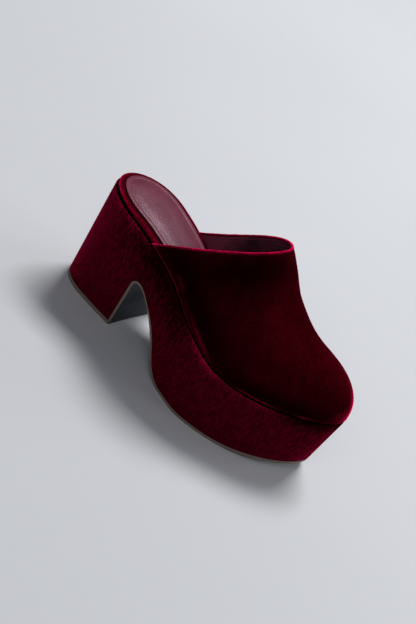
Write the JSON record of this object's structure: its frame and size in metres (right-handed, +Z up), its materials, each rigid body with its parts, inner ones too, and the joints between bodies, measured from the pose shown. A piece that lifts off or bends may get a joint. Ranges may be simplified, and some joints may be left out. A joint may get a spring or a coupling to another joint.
{
  "type": "platform mule clog",
  "caption": "Right-foot platform mule clog: closed velvet toe and instep, open back, padded leather sock on a wrapped rim, high block heel and thick platform with an arch between them.",
  "frame": {"origin": "middle of the shoe's bounding box in plan, on the floor that it stands on", "axes": "+X from heel to toe, +Y to the inner side of the foot, +Z up"},
  "size_m": [0.2462, 0.0932, 0.1399],
  "materials": {
    "sole_unit": "dark crimson velvet, mottled nap",
    "outsole": "taupe, matte",
    "heel_tip": "taupe, matte",
    "insole_board": "dark crimson velvet wrapped over the rim",
    "insole_sock": "plum, smooth with a soft gloss",
    "upper": "dark crimson velvet with a bright edge sheen"
  },
  "bodies": {
    "root": {"sole_unit": "sole_unit", "outsole": "outsole", "heel_tip": "heel_tip", "insole_board": "insole_board", "insole_sock": "insole_sock", "upper": "upper"}
  },
  "joints": []
}
